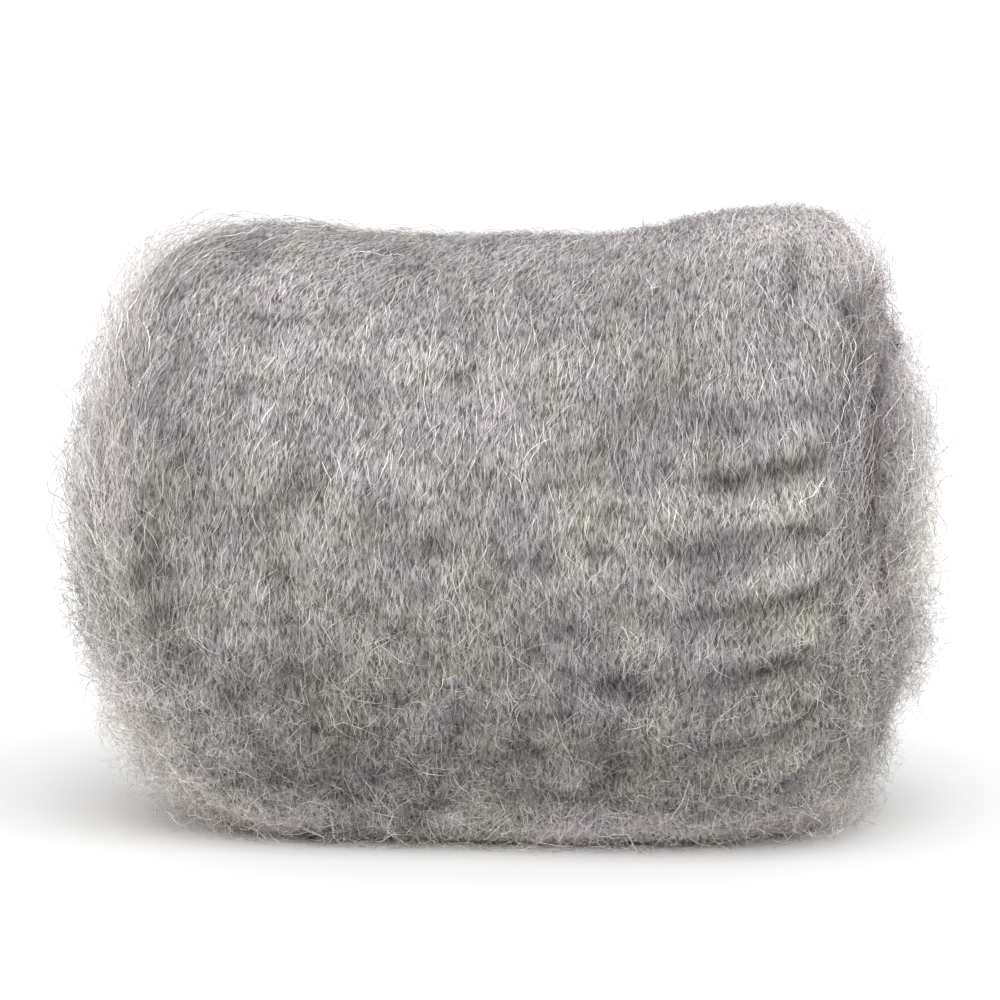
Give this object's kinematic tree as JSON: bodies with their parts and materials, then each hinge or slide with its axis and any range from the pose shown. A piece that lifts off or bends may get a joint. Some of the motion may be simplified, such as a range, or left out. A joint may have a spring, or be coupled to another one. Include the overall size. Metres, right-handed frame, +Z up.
{
  "type": "steel wool bundle",
  "caption": "Soft bundle of grey steel wool: one web of long fibres rolled up and pressed oval, with one smooth end and one end whose inner turns stand out.",
  "frame": {"origin": "under the middle of the bundle's box, on the flat spot that it rests on", "axes": "+X along the roll's axis, towards the end whose inner turns stand out; -Y is the front, where the gathers are; +Z up"},
  "size_m": [0.1338, 0.0922, 0.0975],
  "materials": {
    "steel_wool": "fine loose steel fibres, dull grey with bright glints"
  },
  "bodies": {
    "root": {"steel_wool_bundle": "steel_wool"}
  },
  "joints": []
}
